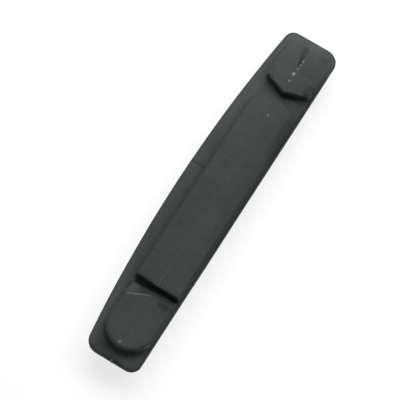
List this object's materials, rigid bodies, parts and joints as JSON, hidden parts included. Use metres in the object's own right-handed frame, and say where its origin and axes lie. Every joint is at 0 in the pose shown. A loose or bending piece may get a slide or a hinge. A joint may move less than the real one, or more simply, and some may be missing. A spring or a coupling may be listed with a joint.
{
  "type": "bicycle rim brake pad",
  "caption": "Long slim moulded rubber brake insert with a flat friction face under a curved flange and a raised rail with stop notches that slides into a brake shoe holder.",
  "frame": {"origin": "on the friction face, at mid length, in the plane where the mould parts", "axes": "+X runs along the insert from its rounded nose to its square tail, +Y points to the curved outer edge that follows the rim, and +Z points away from the friction face to the holder's rail"},
  "size_m": [0.072, 0.0133, 0.009],
  "materials": {
    "pad_rubber": "dark charcoal moulded rubber, matt and slightly mottled"
  },
  "bodies": {
    "root": {"brake_pad": "pad_rubber"}
  },
  "joints": []
}
